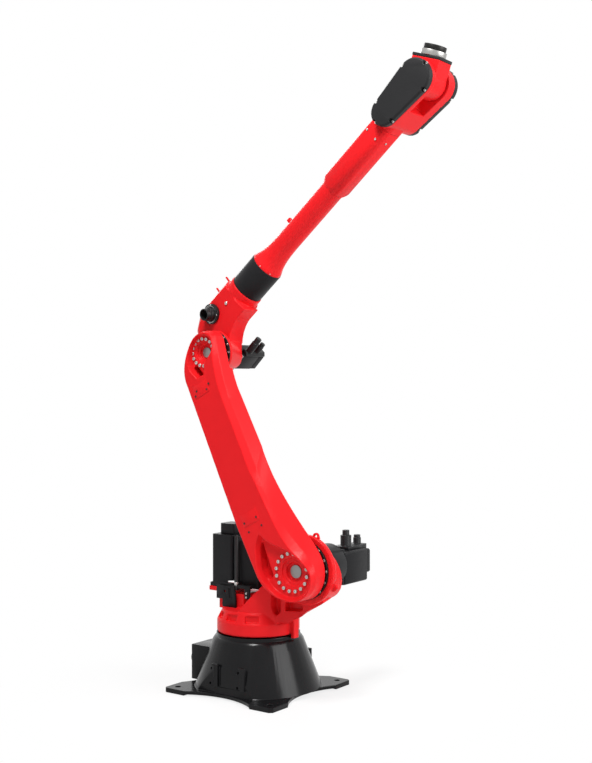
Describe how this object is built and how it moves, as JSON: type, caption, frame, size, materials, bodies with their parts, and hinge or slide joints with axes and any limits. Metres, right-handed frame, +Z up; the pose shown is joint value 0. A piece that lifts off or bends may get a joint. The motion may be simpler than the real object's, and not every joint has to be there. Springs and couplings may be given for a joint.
{
  "type": "six-axis industrial robot arm",
  "caption": "Long-reach six-axis industrial robot arm on a conical foot, with servo motors, a slim tubular forearm and a forked wrist that ends in a tool flange.",
  "frame": {"origin": "on the first axis, at the underside of the foot plate", "axes": "+X towards the reach of the arm, +Y to the arm's own left, +Z up along the first axis"},
  "size_m": [0.9507, 0.455, 2.021],
  "materials": {
    "black_paint": "semi-gloss black paint on cast iron",
    "panel": "plain steel plate",
    "connectors": "black plastic",
    "red_paint": "gloss red paint on castings",
    "motor_housing": "satin black paint",
    "dark_steel": "oiled dark steel",
    "bright_steel": "ground steel",
    "cable_lead": "grey coated conduit",
    "hose_fitting": "black plastic with a steel ring",
    "sleeve_paint": "satin black paint",
    "cover_plastic": "textured black plastic",
    "flange_steel": "blackened steel"
  },
  "bodies": {
    "base": {"base_casting": "black_paint", "travel_stop": "black_paint", "junction_box": "black_paint", "connector_panel": "panel", "base_connectors": "connectors"},
    "turret": {"turret_casting": "red_paint", "turret_motor": "motor_housing", "turret_motor_cap": "motor_housing", "turret_motor_terminals": "connectors", "motor_lead": "cable_lead", "cable_bracket": "motor_housing", "cable_clip": "motor_housing", "shoulder_adapter": "motor_housing", "shoulder_motor": "motor_housing", "shoulder_motor_cap": "motor_housing", "shoulder_motor_terminals": "connectors", "shoulder_reducer": "dark_steel", "lifting_eye": "red_paint"},
    "lower_arm": {"lower_arm": "red_paint", "shoulder_output": "dark_steel", "elbow_output": "dark_steel", "shoulder_shaft_plug": "bright_steel", "elbow_shaft_plug": "bright_steel"},
    "elbow": {"elbow_casting": "red_paint", "elbow_reducer": "dark_steel", "elbow_motor_flange": "bright_steel", "elbow_motor": "motor_housing", "elbow_motor_cap": "motor_housing", "elbow_motor_terminals": "connectors", "hose_inlet": "hose_fitting", "cable_hooks": "red_paint"},
    "forearm": {"roll_sleeve": "sleeve_paint", "forearm_tube": "red_paint", "wrist_fork": "red_paint", "wrist_cover_right": "cover_plastic", "wrist_cover_left": "cover_plastic"},
    "wrist": {"wrist_block": "red_paint", "wrist_seal_plate": "flange_steel", "wrist_reducer": "bright_steel"},
    "tool": {"tool_flange": "flange_steel"}
  },
  "joints": [
    {"name": "turret_turn", "type": "hinge", "parent": "base", "child": "turret", "pos_m": [0, 0, 0.192], "axis": [0, 0, 1], "range_deg": [-155, 155]},
    {"name": "shoulder_swing", "type": "hinge", "parent": "turret", "child": "lower_arm", "pos_m": [0.248, -0.09485, 0.424], "axis": [0, 1, 0], "range_deg": [-37.4, 117.6]},
    {"name": "elbow_swing", "type": "hinge", "parent": "lower_arm", "child": "elbow", "pos_m": [-0.10874, -0.10415, 1.10638], "axis": [0, -1, 0], "range_deg": [-88, 97]},
    {"name": "forearm_roll", "type": "hinge", "parent": "elbow", "child": "forearm", "pos_m": [-0.04661, 0, 1.31896], "axis": [0.7559, 0, 0.6547], "range_deg": [-180, 180]},
    {"name": "wrist_bend", "type": "hinge", "parent": "forearm", "child": "wrist", "pos_m": [0.63279, 0, 1.90747], "axis": [0, -1, 0], "range_deg": [-146, 84]},
    {"name": "tool_turn", "type": "hinge", "parent": "wrist", "child": "tool", "pos_m": [0.66142, 0, 1.99506], "axis": [0.3107, 0, 0.9505], "range_deg": [-360, 360]}
  ]
}
